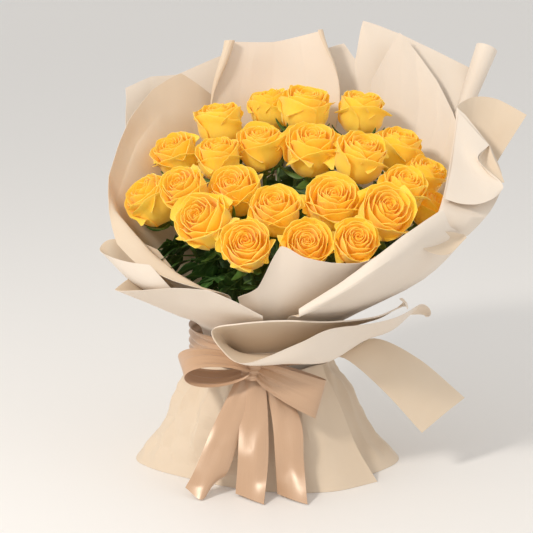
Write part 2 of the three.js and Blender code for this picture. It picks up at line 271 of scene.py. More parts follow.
def petal_material(name, warm):
    """Yellow, with painted shade that deepens it towards the heart and a painted highlight that pales the
    rim. Channels: rim, heart, height.
    """
    shader = Shader(name, 0.45, sheen_weight=0.25, sheen_roughness=0.5, subsurface_weight=0.35,
                    subsurface_scale=0.006, subsurface_radius=(1.0, 0.6, 0.12), specular_ior_level=0.3)
    rim, heart, height = shader.attribute("tint")
    patches = shader.noise(90, 2)
    veins = shader.noise(1, 2, shader.stretched(shader.uv(), 30, 2.2, 1))
    # painted shade: petals of the inner layers are mixed to a deeper orange, as the hollow heart of a bloom
    # is shaded
    body = shader.mix(heart, (1.0, 0.70, 0.075), (1.0, 0.53, 0.022))
    body = shader.mix(shader.spread(patches, 0.4, 0.75, 0.3 + warm), body, (1.0, 0.60, 0.04))
    foot = shader.mix(height ** 0.5, (1.0, 0.74, 0.16), body)
    # painted highlight: the rim of each petal is paled, as if lit through its thin edge
    edge = rim * shader.spread(patches, 0.35, 0.65, 0.35)
    shader.set("Base Color", shader.mix(edge, foot, (1.0, 0.80, 0.24)))
    shader.set("Emission Color", (1.0, 0.40, 0.012))   # the light that comes through neighbouring petals
    shader.set("Emission Strength", 0.1)
    shader.bump(veins, 0.2, 0.0005)
    return shader.material


def leaf_material(name, colour, pale):
    shader = Shader(name, 0.42, specular_ior_level=0.45)
    midrib = shader.attribute("tint")[0]
    veins = shader.node("ShaderNodeTexWave", {"wave_type": "BANDS"}, Vector=shader.uv(), Scale=5.0,
                        Distortion=1.2, Detail=1.0)
    body = shader.mix(shader.noise(120, 3), colour, pale)
    body = shader.mix(midrib ** 6.0, body, (0.14, 0.27, 0.08))
    shader.set("Base Color", body)
    shader.set("Roughness", shader.noise(200, 2) * 0.25 + 0.3)
    shader.bump(veins * 0.6, 0.35, 0.0008)
    return shader.material


def stem_material():
    shader = Shader("green_stem", 0.5)
    streaks = shader.noise(60, 3, shader.stretched(shader.place(), 6, 6, 0.6))
    shader.set("Base Color", shader.mix(streaks, (0.06, 0.15, 0.03), (0.17, 0.30, 0.08)))
    shader.bump(streaks, 0.3, 0.0006)
    return shader.material


def paper_material(name, colour, shade):
    """Matt coated florist paper: a faint mottle, fibres, and soft waves in its surface."""
    shader = Shader(name, 0.55, sheen_weight=0.1, sheen_roughness=0.6, specular_ior_level=0.3,
                    subsurface_weight=0.08, subsurface_scale=0.003, subsurface_radius=(1.0, 0.8, 0.6))
    mottle = shader.noise(14, 3)
    fibres = shader.noise(900, 2, roughness=0.7)
    shader.set("Base Color", shader.mix(shader.spread(mottle, 0.35, 0.7, 1.0), colour, shade))
    shader.set("Roughness", mottle * 0.2 + 0.48)
    shader.bump(fibres * 0.35 + shader.noise(38, 4) * 0.65, 0.16, 0.0012)
    return shader.material


def satin_material():
    """Satin: fine warp threads along the ribbon, soft gloss."""
    shader = Shader("champagne_satin", 0.3, sheen_weight=0.35, sheen_roughness=0.35, anisotropic=0.5,
                    specular_ior_level=0.9, specular_tint=(1.0, 0.92, 0.82))
    threads = shader.noise(1, 2, shader.stretched(shader.uv(), 260, 3, 1))
    shader.set("Base Color", shader.mix(threads, (0.47, 0.29, 0.175), (0.62, 0.41, 0.27)))
    shader.set("Roughness", threads * 0.1 + 0.27)
    shader.bump(threads, 0.12, 0.0002)
    return shader.material


def twine_material():
    shader = Shader("jute_twine", 0.9)
    strands = shader.noise(400, 4, shader.stretched(shader.place(), 1, 1, 3))
    shader.set("Base Color", shader.mix(strands, (0.36, 0.25, 0.12), (0.62, 0.48, 0.28)))
    shader.bump(strands, 0.8, 0.001)
    return shader.material


PETALS = [petal_material("yellow_petal_%d" % k, warm) for k, warm in ((1, 0.0), (2, 0.25))]
LEAF = leaf_material("rose_leaf", (0.022, 0.075, 0.014), (0.06, 0.15, 0.03))
SEPAL = leaf_material("sepal", (0.06, 0.16, 0.03), (0.13, 0.26, 0.06))
STEM = stem_material()
WRAP = paper_material("cream_wrap", (0.82, 0.72, 0.615), (0.79, 0.685, 0.575))
# painted shade: a darker, more tan copy of the cream paper, for the side of the sheets that faces the
# flowers
WRAP_PAINTED_SHADE = paper_material("cream_wrap_painted_shade", (0.75, 0.615, 0.47), (0.71, 0.57, 0.425))
SATIN = satin_material()
TWINE = twine_material()


# ---------------------------------------------------------------- roses

# Middle of the bloom, the way that it faces, its diameter, how far it has opened. Millimetres.
ROSES = [
    ((40, 60, 351), (0.1, -0.25, 0.97), 54, 0.75),
    ((6, 96, 347), (-0.2, -0.05, 0.97), 48, 0.7),
    ((-46, 60, 335), (-0.15, -0.1, 0.97), 52, 0.8),
    ((-4, 24, 317), (-0.1, -0.35, 0.93), 50, 0.8),
    ((46, 8, 316), (0.03, -0.4, 0.92), 58, 1.25),
    ((93, -17, 312), (0.2, -0.42, 0.88), 54, 0.9),
    ((134, 41, 311), (0.25, -0.2, 0.94), 52, 0.8),
    ((-88, 31, 307), (-0.4, -0.35, 0.84), 50, 0.85),
    ((-46, 5, 309), (-0.12, -0.3, 0.95), 46, 0.8),
    ((-111, -12, 269), (-0.62, -0.3, 0.72), 54, 0.9),
    ((-77, -41, 284), (-0.42, -0.55, 0.72), 48, 0.9),
    ((-28, -35, 282), (-0.25, -0.55, 0.8), 52, 0.95),
    ((-56, -79, 260), (-0.45, -0.62, 0.64), 56, 1.05),
    ((10, -70, 269), (-0.08, -0.6, 0.79), 50, 1.0),
    ((63, -59, 273), (0.05, -0.6, 0.8), 56, 1.05),
    ((-17, -107, 242), (-0.08, -0.8, 0.6), 50, 1.0),
    ((39, -104, 241), (0.05, -0.82, 0.57), 50, 1.05),
    ((112, -80, 268), (0.28, -0.72, 0.63), 54, 1.0),
    ((84, -116, 247), (0.12, -0.8, 0.57), 44, 1.0),
    ((133, -41, 285), (0.25, -0.45, 0.86), 46, 0.95),
    ((158, 10, 289), (0.4, -0.3, 0.87), 42, 0.85),
    ((162, -20, 261), (0.5, -0.35, 0.79), 40, 0.85),
    ((98, 70, 346), (0.12, -0.15, 0.98), 52, 0.75),
]
MIDDLE_ROSE = 11   # its stem stands on the origin

# Petals of a rose, from the heart outwards, in units of half the bloom's diameter:
# count, radius, height of the rim, half the turn that one covers, flare and roll of the rim, its slant
LAYERS = [
    (3, 0.08, 0.60, 150, 0.00, 0.00, 0.00),
    (3, 0.17, 0.67, 124, 0.00, 0.01, 0.04),
    (4, 0.28, 0.72, 98, 0.01, 0.02, 0.05),
    (4, 0.41, 0.75, 86, 0.02, 0.05, 0.07),
    (4, 0.55, 0.75, 80, 0.04, 0.08, 0.08),
    (4, 0.70, 0.71, 78, 0.08, 0.13, 0.14),
    (4, 0.84, 0.60, 76, 0.12, 0.20, 0.24),
]


# Leaves of a stem: share of the way up from the waist, size
LEAF_SIZES = ((0.99, 0.5), (0.97, 0.6), (0.94, 0.7), (0.9, 0.8), (0.86, 0.8), (0.8, 0.9), (0.73, 1.0),
              (0.64, 1.0), (0.55, 1.0))

# Compound leaves that fill the gap at the front left, by rose: share of the way up, direction, length
SPRAYS = {
    10: [(0.9, (-0.5, -0.85, 0.1), 36), (0.8, (-0.8, -0.5, 0.1), 34)],
    11: [(0.86, (-0.75, -0.65, -0.15), 40), (0.74, (-0.7, -0.7, 0.0), 44)],
    13: [(0.92, (-0.9, -0.36, -0.2), 34), (0.82, (-0.55, -0.8, -0.2), 38),
         (0.7, (-0.75, -0.6, 0.25), 46)],
    14: [(0.8, (0.1, -0.95, -0.1), 36)],
    16: [(0.95, (-0.7, -0.55, -0.45), 30), (0.86, (-0.8, -0.5, -0.3), 38), (0.8, (0.3, -0.9, 0.1), 32),
         (0.7, (-0.4, -0.8, 0.35), 34)],
}


def petal_point(s, t, petal, turn, lift, phase, seed):
    """A point of a petal: s is -1..1 across, t 0..1 from its foot to its rim."""
    radius, height, half, flare, roll, slant = petal
    widest = 0.45
    if t < widest:
        width = math.sin(math.pi * t / widest / 2) ** 0.6
    else:
        width = 1 - 0.12 * ((t - widest) / (1 - widest)) ** 2
    rim = 1 - 0.15 * abs(s) ** 2.6 - 0.03 * math.cos(3 * s + phase)
    z = -0.98 + (height + lift + slant * s + 0.98) * t * (1 - (1 - rim) * min(t / 0.5, 1))
    cup = 0.14 + 0.86 * math.sin(min(t * 1.9, 1) * math.pi / 2) ** 0.62
    out = smooth(0.6, 1.0, t)
    edge = max(0.0, abs(s) - 0.4) / 0.6
    r = radius * cup * (1 - 0.05 * smooth(0.6, 0.9, t))
    r += flare * out ** 1.6 + roll * out * edge ** 1.5
    z -= roll * out ** 2 * (0.5 + 0.8 * edge)
    ruffle = out ** 1.6 * (0.4 + 0.6 * abs(s))
    wave = noise.noise(Vector((s * 2.8 + seed, t * 1.2, phase)))
    fine = noise.noise(Vector((s * 6.5 + seed, 3.1, phase)))
    r += (0.02 + 0.10 * radius) * ruffle * (wave * 1.1 + fine * 0.8)
    z += ruffle * (0.06 * noise.noise(Vector((s * 3.4 + seed, 7.7, phase))) + 0.05 * fine)
    r += 0.055 * s   # one side lies over the next petal, the other under the one before
    angle = turn + math.radians(half) * s * width
    return Vector((r * math.cos(angle), r * math.sin(angle), z))


def petals_of(flat, seed, openness):
    """All petals of one rose: the flat grid, shaped once for each, and the channels of their colours."""
    rng = random.Random(seed)
    made, tint = bmesh.new(), []
    turn = rng.uniform(0, 6.28)
    lean = Vector((rng.uniform(-0.07, 0.07), rng.uniform(-0.07, 0.07), 0))   # the heart is off the middle
    for rank, (count, radius, height, half, flare, roll, slant) in enumerate(LAYERS):
        turn += rng.uniform(0.4, 1.2)
        for k in range(count):
            start = len(made.verts)
            made.from_mesh(flat)
            made.verts.ensure_lookup_table()
            petal = (radius * rng.uniform(0.94, 1.05), height, half * rng.uniform(0.9, 1.1),
                     flare * openness * rng.uniform(0.6, 1.4), roll * openness * rng.uniform(0.4, 1.6),
                     slant * rng.uniform(-1, 1))
            around = turn + 2 * math.pi * k / count + rng.uniform(-0.12, 0.12)
            lift, phase, offset = rng.uniform(-0.05, 0.04), rng.uniform(0, 6.28), rng.uniform(0, 50)
            for v in made.verts[start:]:
                s, t = v.co.x, ((v.co.y + 1) / 2) ** 0.8
                rim = max(smooth(0.88, 1.0, t), smooth(0.85, 1.0, abs(s)) * smooth(0.5, 0.8, t))
                tint.append((rim, 1 - rank / (len(LAYERS) - 1), t, 1))
                v.co = petal_point(s, t, petal, around, lift, phase, offset) + lean * (1 - radius) * t
    return made, tint


def rose(number, flat):
    (x, y, z), lean, diameter, openness = ROSES[number - 1]
    made, tint = petals_of(flat, 40 + number, openness)
    mesh = bpy.data.meshes.new("rose_%02d_petals" % number)
    made.to_mesh(mesh)
    made.free()
    colours = mesh.attributes.new("tint", "FLOAT_COLOR", "POINT")
    for item, value in zip(colours.data, tint):
        item.color = value
    obj = bpy.data.objects.new(mesh.name, mesh)
    bpy.context.scene.collection.objects.link(obj)
    thicken(obj, PETAL_WALL)
    axis = Vector(lean).normalized()
    size = Matrix.Scale(diameter / 2 * MM * BLOOM_FULLNESS, 4)
    mesh.transform(facing(axis, Vector((x, y, z)) * MM, number * 1.7) @ size)
    mesh.materials.append(PETALS[number % 2])
    return settle(obj, "petals", "rose_%02d_bloom" % number)


def stem_slots():
    """Places of the stems at the waist: the blooms' plan drawn small, then eased apart."""
    slots = [Vector(centre[:2]) * (STEMS_HALF_WIDTH / BLOOMS_HALF_WIDTH) for centre, _, _, _ in ROSES]
    for _ in range(400):
        for i, first in enumerate(slots):
            for second in slots[i + 1:]:
                apart = first - second
                short = STEM_GAP - apart.length
                if short > 0:
                    apart = apart.normalized() * (short / 2)
                    first += apart
                    second -= apart
    middle = slots[MIDDLE_ROSE].copy()
    return [slot - middle for slot in slots]


def leaf():
    """A serrated leaf in millimetres from the origin along +Z, to be copied."""
    obj = grid("leaf", LEAF_COLUMNS, LEAF_ROWS)

    def place(s, t):
        tooth = 1 + 0.09 * (1 - (t * 9) % 1) * smooth(0.7, 1, abs(s)) * smooth(0.03, 0.2, t)
        outline = math.sin(math.pi * min(t ** 0.75, 1)) ** 0.8
        half = LEAF_HALF_WIDTH * outline * tooth * (1 - 0.35 * smooth(0.75, 1.0, t)) + 0.35
        droop = 7 * t * t
        wave = 0.7 * math.sin(t * 11 + 2 * s) * abs(s)
        return Vector((s * half, 1.8 * abs(s) ** 1.3 * (half / 11) - droop + wave, LEAF_LENGTH * t))

    bend(obj, place)
    colours = obj.data.attributes.new("tint", "FLOAT_COLOR", "POINT")
    middle = LEAF_COLUMNS // 2
    for i, item in enumerate(colours.data):
        across = abs(i % (LEAF_COLUMNS + 1) - middle) / middle
        item.color = (1 - across, 0, 0, 1)
    thicken(obj, LEAF_WALL)
    obj.data.materials.append(LEAF)
    return obj


def sepal():
    """A pointed sepal, 1 long, from the origin out to +Y and up."""
    obj = grid("sepal", 4, 14)

    start, turn = 1.45, 1.1   # radians from upright where it starts, and back from that at its tip

    def place(s, t):
        half = 0.155 * (1 - t) ** 0.75 * (0.55 + 0.45 * math.sin(min(t * 4, 1) * math.pi / 2)) + 0.006
        lean = start - turn * t
        out, up = (math.cos(lean) - math.cos(start)) / turn, (math.sin(start) - math.sin(lean)) / turn
        return Vector((s * half, out + 0.12 * s * s * (1 - t), up))

    bend(obj, place)
    colours = obj.data.attributes.new("tint", "FLOAT_COLOR", "POINT")
    for item in colours.data:
        item.color = (0.2, 0, 0, 1)
    thicken(obj, 0.03)
    obj.data.materials.append(SEPAL)
    return obj


def hip():
    """A ball, to be stretched into the hip under a bloom."""
    bpy.ops.object.select_all(action="DESELECT")
    bpy.ops.mesh.primitive_uv_sphere_add(segments=14, ring_count=8, radius=1)
    obj = bpy.context.object
    bpy.ops.object.shade_smooth()
    obj.data.materials.append(SEPAL)
    return obj


def stem_tube(slot, base, axis):
    """A stem from its cut end through the waist to the back of its bloom, in millimetres."""
    foot = Vector((slot.x * STEM_SPREAD, slot.y * STEM_SPREAD, 0.3))
    waist = Vector((slot.x, slot.y, WAIST_Z))
    reach = (base - waist).length
    bpy.ops.object.select_all(action="DESELECT")
    bpy.ops.curve.primitive_bezier_curve_add()
    obj = bpy.context.object
    spline = obj.data.splines[0]
    spline.bezier_points.add(1)
    handles = [(foot, foot, foot.lerp(waist, 0.3)),
               (waist, waist.lerp(foot, 0.3), waist + (base - waist).normalized() * reach * 0.4),
               (base, base - axis * reach * 0.16, base)]
    for point, (place, before, after) in zip(spline.bezier_points, handles):
        point.handle_left_type = point.handle_right_type = "FREE"
        point.co, point.handle_left, point.handle_right = place, before, after
    obj.data.dimensions = "3D"
    obj.data.bevel_depth = STEM_RADIUS
    obj.data.bevel_resolution = 3
    obj.data.use_fill_caps = True
    obj.data.resolution_u = 12
    bpy.ops.object.convert(target="MESH")
    bpy.ops.object.shade_smooth()
    obj.data.materials.append(STEM)
    return obj


def room(points):
    """The least distance of the points to any bloom's skin, in millimetres."""
    return min((p - Vector(centre)).length - diameter / 2
               for centre, _, diameter, _ in ROSES for p in points)


def rachis():
    """The thin stalk of a compound leaf, 1 long, from the origin along +Z."""
    bpy.ops.object.select_all(action="DESELECT")
    bpy.ops.mesh.primitive_cone_add(vertices=8, radius1=0.9, radius2=0.5, depth=1)
    obj = bpy.context.object
    obj.data.transform(Matrix.Translation((0, 0, 0.5)))
    bpy.ops.object.shade_smooth_by_angle(angle=math.radians(50))
    obj.data.materials.append(STEM)
    return obj


def spray(name, leaf_shape, rachis_shape, foot, direction, length, rng):
    """A compound leaf: a leaflet at the end of its stalk and two pairs along it."""
    lay = facing(direction, foot, rng.uniform(-0.5, 0.5))
    parts = [copied(rachis_shape, name, lay @ Matrix.Diagonal((1, 1, length, 1)))]
    for along, side in ((1.0, 0), (0.72, -1), (0.72, 1), (0.45, -1), (0.45, 1)):
        turn = Matrix.Rotation(side * rng.uniform(0.8, 1.15), 4, "Y")
        size = Matrix.Scale(rng.uniform(0.52, 0.7), 4)
        up = Matrix.Translation((0, 0, along * length * 0.98))
        parts.append(copied(leaf_shape, name, lay @ up @ turn @ size))
    return parts


def greens(number, slot, leaf_shape, sepal_shape, hip_shape, rachis_shape):
    """Stem, hip, sepals and leaves of one rose."""
    rng = random.Random(700 + number)
    (x, y, z), lean, diameter, _ = ROSES[number - 1]
    axis = Vector(lean).normalized()
    top = Vector((x, y, z)) - axis * (BLOOM_FOOT * diameter + 0.3)
    base = top - axis * HIP_LENGTH
    parts = [stem_tube(slot, base, axis)]
    name = "rose_%02d_greens" % number
    swell = Matrix.Diagonal((4.6, 4.6, 5, 1))
    parts.append(copied(hip_shape, name, facing(axis, top - axis * 3.4) @ swell))
    for k in range(5):
        length = diameter * rng.uniform(0.5, 0.66)
        turn = Matrix.Rotation(math.radians(72 * k + rng.uniform(-12, 12)), 4, "Z")
        tilt = Matrix.Rotation(-rng.uniform(-0.05, 0.5), 4, "X")
        lay = facing(axis, top - axis * 1.2) @ turn @ Matrix.Translation((0, 3.2, 0)) @ tilt
        parts.append(copied(sepal_shape, name, lay @ Matrix.Scale(length, 4)))
    waist = Vector((slot.x, slot.y, WAIST_Z))
    reach = (base - waist).length
    for share, size in LEAF_SIZES:
        foot = base.lerp(waist, 1 - share) - axis * reach * 0.05 * share
        best = None   # of nine directions, the one with the most room
        for _ in range(9):
            turn, tilt = rng.uniform(0, 360), rng.uniform(0.35, 1.35)
            direction = Vector(polar(turn, math.sin(tilt), math.cos(tilt)))
            free = room([foot + direction * d * size for d in (14, 26, LEAF_LENGTH)])
            if best is None or free > best[0]:
                best = (free, direction)
        if best[0] > -1.0:
            lay = facing(best[1], foot, rng.uniform(-0.6, 0.6))
            parts.append(copied(leaf_shape, name, lay @ Matrix.Scale(size * rng.uniform(0.85, 1.05), 4)))
    for share, direction, length in SPRAYS.get(number, ()):
        foot = base.lerp(waist, 1 - share) - axis * reach * 0.05 * share
        parts += spray(name, leaf_shape, rachis_shape, foot, Vector(direction).normalized(), length, rng)
    obj = joined(name, parts)
    obj.data.transform(Matrix.Scale(MM, 4))
    return settle(obj, "greens", "rose_%02d_stem" % number)


def build_roses():
    petal_flat = grid("petal", PETAL_COLUMNS, PETAL_ROWS)
    shapes = [leaf(), sepal(), hip(), rachis()]
    slots = stem_slots()
    for number, slot in enumerate(slots, 1):
        rose(number, petal_flat.data)
        greens(number, slot, *shapes)
    for shape in [petal_flat, *shapes]:
        bpy.data.objects.remove(shape)


# ---------------------------------------------------------------- paper

# Each sheet: the turns and radius of its foot in the waist, then rows of points up to its rim (mm).
# "crinkle" is the height of its fine waves in mm, "stiff" how flat its panels are between their folds.
# A curl at an edge is a list of (share of the way up that edge, radius in mm, degrees turned outwards).
PAPERS = {
    "left_inner_paper": {
        "foot": ([-158, -148, -136, -122, -108, -94, -82, -70, -57, -43, -29], 48),
        "crinkle": 1.0, "stiff": 0.65,
        "rows": [
            [[-44, 104, 312], [-70, 94, 316], [-98, 70, 316], [-122, 32, 290], [-134, -8, 246],
             [-126, -36, 230], [-112, -58, 218], [-94, -76, 206], [-74, -91, 195], [-52, -103, 186],
             [-30, -108, 182]],
            [[-50, 118, 336], [-77, 104, 350], [-106, 80, 350], [-130, 42, 322], [-148, -5, 274],
             [-143, -33, 262], [-127, -52, 247], [-109, -74, 231], [-84, -97, 217], [-56, -115, 205],
             [-33, -121, 199]],
            [[-54, 124, 356], [-88, 108, 382], [-116, 80, 368], [-137, 38, 342], [-154, -5, 292],
             [-151, -36, 266], [-147, -50, 250], [-141, -64, 236], [-121, -88, 222], [-86, -112, 212],
             [-50, -130, 206]],
        ],
    },
    "back_left_paper": {
        "foot": ([-116, -130, -144, -158, -172], 53), "crinkle": 0.8, "stiff": 0.8,
        "rows": [
            [[-134, 66, 290], [-118, 90, 295], [-94, 108, 300], [-60, 122, 305], [-25, 132, 305]],
            [[-145, 98, 368], [-120, 117, 378], [-93, 130, 379], [-48, 146, 397], [-8, 154, 392]],
        ],
    },
    "back_centre_paper": {
        "foot": ([-152, -164, 180, 166, 152], 43), "crinkle": 0.9, "stiff": 0.3,
        "left": [(0.55, 0.1, 10), (0.75, 3, 150), (1.0, 6, 330)],
        "right": [(0.6, 0.1, 10), (0.8, 2.5, 120), (1.0, 4, 200)],
        "rows": [
            [[-56, 100, 330], [-28, 116, 332], [6, 124, 334], [42, 118, 336], [76, 100, 340]],
            [[-38, 124, 414], [-16, 130, 413], [10, 134, 413], [37, 133, 419], [58, 126, 425]],
        ],
    },
    "back_right_paper": {
        "foot": ([176, 168, 160, 148, 136, 124, 114], 53), "crinkle": 0.8, "stiff": 0.8,
        "rows": [
            [[40, 132, 310], [66, 128, 312], [92, 122, 312], [118, 118, 316], [148, 112, 316],
             [176, 104, 312], [198, 96, 326]],
            [[62, 148, 404], [84, 150, 410], [96, 148, 394], [104, 150, 434], [142, 148, 421],
             [185, 140, 401], [216, 134, 386]],
        ],
    },
    "inner_right_paper": {
        "foot": ([152, 145, 138, 131, 124, 117, 110], 48), "crinkle": 0.8, "stiff": 0.7,
        "rows": [
            [[100, 100, 300], [116, 104, 318], [134, 104, 322], [152, 98, 312], [166, 86, 298],
             [170, 70, 276], [176, 44, 252]],
            [[111, 112, 374], [126, 120, 400], [141, 126, 423], [158, 124, 404], [180, 113, 374],
             [196, 98, 342], [206, 52, 304]],
        ],
    },
    "right_paper": {
        "foot": ([86, 82, 76, 69, 63, 58, 54], 55), "crinkle": 0.6, "stiff": 0.15,
        "rows": [
            [[164, 0, 216], [162, -12, 218], [154, -26, 222], [138, -50, 226], [146, -54, 222],
             [152, -52, 216], [156, -46, 211]],
            [[208, 20, 256], [205, 4, 260], [194, -20, 266], [165, -62, 267], [180, -64, 262],
             [194, -60, 258], [209, -50, 256]],
            [[236, 44, 300], [222, 50, 306], [206, 46, 312], [185, 10, 318], [200, 2, 308],
             [214, -6, 300], [232, -14, 288]],
            [[266, 58, 345], [238, 74, 359], [214, 70, 362], [194, 48, 355], [202, 40, 346],
             [213, 28, 332], [224, 14, 318]],
        ],
    },
    "front_paper": {
        "foot": ([-17, -9, -1, 8, 17, 27, 37, 48], 53), "crinkle": 0.8, "stiff": 0.45,
        "rows": [
            [[-21, -106, 176], [-5, -110, 178], [12, -111, 182], [30, -110, 186], [50, -108, 189],
             [74, -104, 193], [98, -90, 200], [118, -72, 208]],
            [[-25, -122, 198], [-6, -129, 209], [14, -137, 249], [35, -139, 240], [60, -139, 234],
             [86, -140, 234], [112, -125, 241], [142, -92, 254]],
        ],
    },
    "front_roll_paper": {
        "foot": ([11, 20, 30, 41, 53, 63], 60), "crinkle": 0.6, "stiff": 0.15,
        "rows": [
            [[22, -112, 176], [48, -112, 178], [77, -106, 182], [106, -92, 188], [132, -74, 194],
             [148, -54, 196]],
            [[31, -141, 184], [68, -146, 202], [101, -141, 217], [134, -120, 230], [162, -95, 236],
             [186, -70, 240]],
            [[31, -146, 188], [67, -156, 209], [100, -156, 230], [130, -138, 246], [154, -114, 256],
             [172, -94, 260]],
            [[31, -143, 192], [66, -150, 217], [98, -150, 241], [127, -132, 258], [150, -107, 268],
             [166, -88, 274]],
            [[31, -140, 189], [65, -144, 211], [96, -143, 231], [122, -122, 247], [145, -98, 257],
             [160, -80, 263]],
        ],
    },
    "left_flap_paper": {
        "foot": ([-88, -74, -62, -48, -34, -20, -6], 58), "crinkle": 0.8, "stiff": 0.5,
        "rows": [
            [[-84, -54, 168], [-88, -66, 168], [-80, -76, 170], [-66, -92, 174], [-46, -104, 176],
             [-22, -112, 174], [-2, -114, 172]],
            [[-117, -68, 213], [-142, -88, 197], [-118, -100, 199], [-84, -118, 206], [-52, -132, 207],
             [-26, -138, 197], [-2, -138, 184]],
        ],
    },
    "tail_paper": {
        "foot": None, "crinkle": 0.6,
        "rows": [
            ring([38, 50, 62], 70.6, 112),
            [[58, -56, 115], [68, -43, 116], [77, -30, 117]],
            [[77, -60, 122], [93, -46, 129], [108, -31, 134]],
            [[114, -66, 92], [134, -47, 106], [153, -28, 112]],
            [[154, -64, 47], [178, -46, 61], [200, -26, 71]],
        ],
    },
    "cuff_paper": {
        "foot": None, "crinkle": 0.6,
        "left": [(0.4, 0.1, 10), (0.8, 3, 120), (1.0, 5, 200)],
        "right": [(0.4, 0.1, 10), (0.8, 5, 150), (1.0, 8, 230)],
        "rows": [
            [polar(62, 79, 147), polar(48, 79, 144), polar(30, 79, 137), polar(8, 79, 129),
             polar(-12, 79, 127), polar(-23, 81, 132), polar(-19, 84, 134), polar(-8, 86, 133),
             *ring([14, 34, 50, 62, 72], 86, 134)],
            [[106, -70, 163], [86, -82, 161], [52, -100, 161], [14, -106, 163], [-20, -104, 161],
             [-40, -98, 156], [-36, -100, 146], [-17, -106, 137], [20, -104, 136], [54, -90, 135],
             [84, -74, 143], [106, -60, 148], [124, -46, 157]],
            [[128, -86, 180], [102, -102, 174], [60, -120, 174], [17, -127, 177], [-23, -127, 174],
             [-47, -116, 166], [-41, -120, 150], [-18, -127, 135], [23, -124, 135], [60, -108, 133],
             [95, -93, 149], [122, -75, 154], [142, -56, 166]],
            [[129, -89, 180], [103, -105, 174], [61, -123, 174], [17, -130, 177], [-24, -130, 174],
             [-49, -119, 166], [-42, -123, 150], [-19, -131, 137], [30, -132, 156], [60, -128, 169],
             [98, -112, 170], [126, -93, 172], [148, -70, 178]],
        ],
    },
}

# The part of the right-hand sheet that is turned over outwards, from its lower edge to its top
LOBE = [
    [[171, -60, 279], [186, -62, 275], [202, -60, 274], [216, -53, 277], [226, -44, 282]],
    [[181, -24, 304], [194, -27, 298], [206, -31, 294], [217, -36, 292], [228, -40, 291]],
    [[188, 10, 326], [194, 2, 320], [199, -6, 316], [204, -14, 313], [207, -22, 311]],
    [[195, 42, 350], [201, 32, 343], [207, 22, 336], [213, 11, 329], [220, 0, 322]],
]

# A scroll in the left-hand sheet's rim, from its inner end round its tip to its outer end
SCROLL = [
    [[-74, -70, 188], [-84, -70, 190], [-94, -72, 191], [-102, -76, 191], [-104, -82, 189],
     [-98, -90, 188], [-86, -98, 188], [-72, -104, 188]],
    [[-82, -62, 203], [-99, -62, 207], [-116, -62, 210], [-128, -67, 210], [-132, -76, 207],
     [-122, -91, 205], [-104, -102, 203], [-86, -108, 202]],
    [[-103, -56, 229], [-120, -55, 236], [-139, -54, 239], [-152, -58, 238], [-157, -70, 232],
     [-146, -87, 229], [-127, -98, 226], [-107, -105, 225]],
]

# Inside of the curl at the lobe's right-hand edge, from its near rim to its far one
CURL = [
    [[220, 0, 322], [208, -19, 312], [214, -32, 300], [228, -40, 291]],
    [[220, 3, 322], [214, -4, 312], [220, -14, 300], [229, -36, 291]],
    [[220, 1, 323], [224, -6, 312], [229, -18, 300], [231, -36, 291]],
]

# The open mouth of the roll in front, at its right-hand end
MOUTH = [
    [[138, -123, 254], [149, -120, 241], [170, -106, 235], [190, -82, 246]],
    [[139, -119, 256], [154, -106, 248], [172, -93, 245], [189, -79, 247]],
    [[140, -118, 258], [157, -106, 257], [174, -95, 254], [189, -78, 248]],
]

# The skirt goes once round and laps over itself on the right. Turn, hem radius, top radius.
SKIRT = [
    (56, 133, 68.8), (32, 120, 68.8), (5, 103, 68.6), (-18, 96, 68.4), (-48, 99, 68.2), (-74, 121, 68),
    (-90, 132, 67.8), (-118, 127, 67.6), (-148, 120, 67.4), (-180, 118, 67.2), (-212, 122, 67),
    (-240, 129, 66.8), (-262, 134, 66.6), (-276, 136, 66.4), (-292, 122, 66.2), (-312, 108, 66),
]
SKIRT_LEVELS = [(0, 1), (32, 0.62), (78, 0.26), (98, 0.06), (110, 0)]   # height, share of the hem's flare
SKIRT_COLUMNS, SKIRT_ROWS = 190, 44


def along_list(stops, x):
    """Straight-line reading of (x, values...) stops."""
    if x <= stops[0][0]:
        return stops[0][1:]
    for (x0, *a), (x1, *b) in zip(stops, stops[1:]):
        if x <= x1:
            w = (x - x0) / (x1 - x0)
            return [p + (q - p) * w for p, q in zip(a, b)]
    return stops[-1][1:]


def vectors(rows):
    """Rows of points as vectors."""
    return [[Vector(p) for p in row] for row in rows]


def on_line(points, t):
    """A point on the straight stretches through the points, t from 0 to 1."""
    at = min(max(t, 0.0), 1.0) * (len(points) - 1)
    i = min(int(at), len(points) - 2)
    return points[i].lerp(points[i + 1], at - i)


def through(rows, u, v, stiff=0.0):
    """The surface through rows of points: u along the rows, v from the first row to the last.

    Smooth, or, as stiff goes to 1, flat panels between folds that run from the foot to the rim.
    """
    here = on_curve([on_curve(row, u) for row in rows], v)
    return here.lerp(on_curve([on_line(row, u) for row in rows], v), stiff) if stiff else here


def curled(edge, heading, away, radius, degrees, share):
    """A point of a roll that goes on from an edge. It tightens a little as it goes."""
    place, steps = edge.copy(), 10
    for k in range(max(1, round(steps * share))):
        a = math.radians(degrees) * (k + 0.5) / steps
        step = radius * math.radians(degrees) / steps * (1 - 0.25 * k / steps)
        place += (heading * math.cos(a) + away * math.sin(a)) * step
    return place


